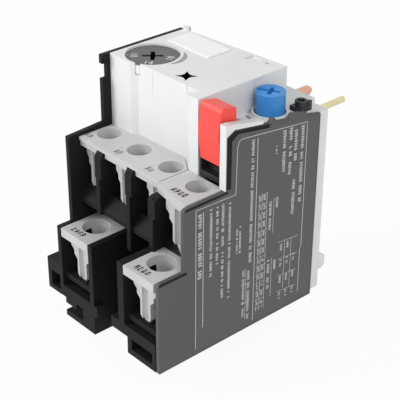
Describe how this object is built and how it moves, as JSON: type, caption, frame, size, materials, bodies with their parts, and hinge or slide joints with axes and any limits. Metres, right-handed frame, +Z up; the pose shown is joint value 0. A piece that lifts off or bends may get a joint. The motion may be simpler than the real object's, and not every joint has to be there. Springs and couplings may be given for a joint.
{
  "type": "thermal overload relay",
  "caption": "Plug-on thermal overload relay: screw terminals, heated bimetal poles, trip mechanism, setting dial, stop and reset buttons",
  "frame": {"origin": "bottom centre of the bounding box", "axes": "X across the relay to its side cover, Y back along the main pins, Z up from the foot to the operator face"},
  "size_m": [0.0502, 0.0644, 0.0684],
  "materials": {
    "light_housing": "fine matt light grey moulding",
    "dark_housing": "fine matt dark grey moulding",
    "clear_plate": "bare white marking plate",
    "dial_plastic": "dark grey dial",
    "red_plastic": "satin red button",
    "blue_plastic": "satin blue button",
    "inner_plastic": "natural moulding",
    "black_plastic": "black moulding",
    "copper": "bare copper",
    "tinned_brass": "bare brass",
    "zinc_steel": "zinc plated steel",
    "bimetal": "rolled bimetal",
    "glass_sleeve": "woven sleeve with ribbon",
    "spring_steel": "spring steel",
    "contact_silver": "silver contact"
  },
  "bodies": {
    "housing": {"main_terminal_shelf": "light_housing", "upper_aux_insert": "light_housing", "left_aux_insert": "light_housing", "right_aux_insert": "light_housing", "terminal_bar_1": "copper", "terminal_bar_2": "copper", "terminal_bar_3": "copper", "upper_aux_bar": "tinned_brass", "left_aux_bar": "tinned_brass", "right_aux_bar": "tinned_brass", "terminal_housing": "dark_housing", "side_cover": "dark_housing", "upper_housing": "light_housing", "rear_housing": "light_housing", "pole_conductor_1": "copper", "pole_conductor_2": "copper", "pole_conductor_3": "copper", "bimetal_carrier": "inner_plastic", "trip_pivot": "zinc_steel", "adjusting_pivot": "zinc_steel", "break_contact": "contact_silver", "make_contact": "contact_silver", "stop_spring": "spring_steel", "slot_backing": "black_plastic", "marking_plate": "clear_plate", "wire_clip": "black_plastic", "coil_pin": "tinned_brass"},
    "dial": {"setting_dial": "dial_plastic", "dial_cam": "inner_plastic"},
    "adjuster": {"adjusting_lever": "zinc_steel"},
    "stop_push": {"stop_button": "red_plastic"},
    "reset_turn": {"reset_bush": "inner_plastic", "reset_spring": "spring_steel"},
    "reset_push": {"reset_button": "blue_plastic"},
    "trip_slide": {"trip_bar": "inner_plastic"},
    "differential_slide": {"differential_bar": "inner_plastic"},
    "lever": {"trip_lever": "inner_plastic", "compensation_strip": "bimetal"},
    "contacts": {"contact_carrier": "inner_plastic", "break_leaf": "spring_steel", "make_leaf": "spring_steel"},
    "bimetal_1": {"bimetal_strip_1": "bimetal", "heater_winding_1": "glass_sleeve"},
    "bimetal_2": {"bimetal_strip_2": "bimetal", "heater_winding_2": "glass_sleeve"},
    "bimetal_3": {"bimetal_strip_3": "bimetal", "heater_winding_3": "glass_sleeve"},
    "main_1_clamp": {"main_1_washer": "zinc_steel"},
    "main_1_thread": {"main_1_screw": "zinc_steel"},
    "main_2_clamp": {"main_2_washer": "zinc_steel"},
    "main_2_thread": {"main_2_screw": "zinc_steel"},
    "main_3_clamp": {"main_3_washer": "zinc_steel"},
    "main_3_thread": {"main_3_screw": "zinc_steel"},
    "upper_aux_clamp": {"upper_aux_washer": "zinc_steel"},
    "upper_aux_thread": {"upper_aux_screw": "zinc_steel"},
    "left_aux_clamp": {"left_aux_washer": "zinc_steel"},
    "left_aux_thread": {"left_aux_screw": "zinc_steel"},
    "right_aux_clamp": {"right_aux_washer": "zinc_steel"},
    "right_aux_thread": {"right_aux_screw": "zinc_steel"}
  },
  "joints": [
    {"name": "current_setting", "type": "hinge", "parent": "housing", "child": "dial", "pos_m": [-0.0114, -0.0025, 0.066], "axis": [0, 0, 1], "range_deg": [-100, 100]},
    {"name": "adjusting_swing", "type": "hinge", "parent": "housing", "child": "adjuster", "pos_m": [0.0066, 0.00255, 0.054], "axis": [0, 0, 1], "range_deg": [-3, 3]},
    {"name": "stop_press", "type": "slide", "parent": "housing", "child": "stop_push", "axis": [0, 0, -1], "range_m": [0, 0.0032], "stiffness_N_per_m": 500, "springref_m": -0.0015, "deforming": ["stop_spring"]},
    {"name": "reset_mode", "type": "hinge", "parent": "housing", "child": "reset_turn", "pos_m": [0.0188, 0.0072, 0.058], "axis": [0, 0, 1], "range_deg": [0, 90]},
    {"name": "reset_press", "type": "slide", "parent": "reset_turn", "child": "reset_push", "axis": [0, 0, -1], "range_m": [0, 0.0025], "stiffness_N_per_m": 500, "springref_m": -0.0015, "deforming": ["reset_spring"]},
    {"name": "trip_travel", "type": "slide", "parent": "housing", "child": "trip_slide", "axis": [1, 0, 0], "range_m": [0, 0.0014], "stiffness_N_per_m": 150, "springref_m": -0.001},
    {"name": "differential_travel", "type": "slide", "parent": "housing", "child": "differential_slide", "axis": [1, 0, 0], "range_m": [0, 0.0014]},
    {"name": "bimetal_bend_1", "type": "hinge", "parent": "housing", "child": "bimetal_1", "pos_m": [-0.0149, 0.0048, 0.012], "axis": [0, 1, 0], "range_deg": [0, 2.7]},
    {"name": "bimetal_bend_2", "type": "hinge", "parent": "housing", "child": "bimetal_2", "pos_m": [-0.00345, 0.0048, 0.012], "axis": [0, 1, 0], "range_deg": [0, 2.7]},
    {"name": "bimetal_bend_3", "type": "hinge", "parent": "housing", "child": "bimetal_3", "pos_m": [0.008, 0.0048, 0.012], "axis": [0, 1, 0], "range_deg": [0, 2.7]},
    {"name": "lever_swing", "type": "hinge", "parent": "housing", "child": "lever", "pos_m": [0.0192, 0.0048, 0.0396], "axis": [0, 1, 0], "range_deg": [0, 16.5]},
    {"name": "contact_travel", "type": "slide", "parent": "housing", "child": "contacts", "axis": [-1, 0, 0], "range_m": [0, 0.0014]},
    {"name": "main_1_clamp_lift", "type": "slide", "parent": "housing", "child": "main_1_clamp", "axis": [0, 0, 1], "range_m": [0, 0.003]},
    {"name": "main_1_screw_turn", "type": "hinge", "parent": "main_1_clamp", "child": "main_1_thread", "pos_m": [-0.0149, -0.0137, 0.0387], "axis": [0, 0, 1], "range_deg": [0, 1350]},
    {"name": "main_2_clamp_lift", "type": "slide", "parent": "housing", "child": "main_2_clamp", "axis": [0, 0, 1], "range_m": [0, 0.003]},
    {"name": "main_2_screw_turn", "type": "hinge", "parent": "main_2_clamp", "child": "main_2_thread", "pos_m": [-0.00345, -0.0137, 0.0387], "axis": [0, 0, 1], "range_deg": [0, 1350]},
    {"name": "main_3_clamp_lift", "type": "slide", "parent": "housing", "child": "main_3_clamp", "axis": [0, 0, 1], "range_m": [0, 0.003]},
    {"name": "main_3_screw_turn", "type": "hinge", "parent": "main_3_clamp", "child": "main_3_thread", "pos_m": [0.008, -0.0137, 0.0387], "axis": [0, 0, 1], "range_deg": [0, 1350]},
    {"name": "upper_aux_clamp_lift", "type": "slide", "parent": "housing", "child": "upper_aux_clamp", "axis": [0, 0, 1], "range_m": [0, 0.003]},
    {"name": "upper_aux_screw_turn", "type": "hinge", "parent": "upper_aux_clamp", "child": "upper_aux_thread", "pos_m": [0.0191, -0.0151, 0.0387], "axis": [0, 0, 1], "range_deg": [0, 1350]},
    {"name": "left_aux_clamp_lift", "type": "slide", "parent": "housing", "child": "left_aux_clamp", "axis": [0, 0, 1], "range_m": [0, 0.003]},
    {"name": "left_aux_screw_turn", "type": "hinge", "parent": "left_aux_clamp", "child": "left_aux_thread", "pos_m": [-0.0129, -0.0202, 0.01585], "axis": [0, 0, 1], "range_deg": [0, 1350]},
    {"name": "right_aux_clamp_lift", "type": "slide", "parent": "housing", "child": "right_aux_clamp", "axis": [0, 0, 1], "range_m": [0, 0.003]},
    {"name": "right_aux_screw_turn", "type": "hinge", "parent": "right_aux_clamp", "child": "right_aux_thread", "pos_m": [0.018, -0.025, 0.022], "axis": [0, 0, 1], "range_deg": [0, 1350]}
  ],
  "couplings": [
    {"joint": "adjusting_swing", "follows": "current_setting", "ratio": -0.0225},
    {"joint": "differential_travel", "follows": "trip_travel", "ratio": 1},
    {"joint": "bimetal_bend_1", "follows": "trip_travel", "rad_per_m": 31.6},
    {"joint": "bimetal_bend_2", "follows": "trip_travel", "rad_per_m": 31.6},
    {"joint": "bimetal_bend_3", "follows": "trip_travel", "rad_per_m": 31.6},
    {"joint": "lever_swing", "follows": "trip_travel", "rad_per_m": 200},
    {"joint": "contact_travel", "follows": "trip_travel", "ratio": 1},
    {"joint": "main_1_screw_turn", "follows": "main_1_clamp_lift", "rad_per_m": 7850},
    {"joint": "main_2_screw_turn", "follows": "main_2_clamp_lift", "rad_per_m": 7850},
    {"joint": "main_3_screw_turn", "follows": "main_3_clamp_lift", "rad_per_m": 7850},
    {"joint": "upper_aux_screw_turn", "follows": "upper_aux_clamp_lift", "rad_per_m": 7850},
    {"joint": "left_aux_screw_turn", "follows": "left_aux_clamp_lift", "rad_per_m": 7850},
    {"joint": "right_aux_screw_turn", "follows": "right_aux_clamp_lift", "rad_per_m": 7850}
  ]
}
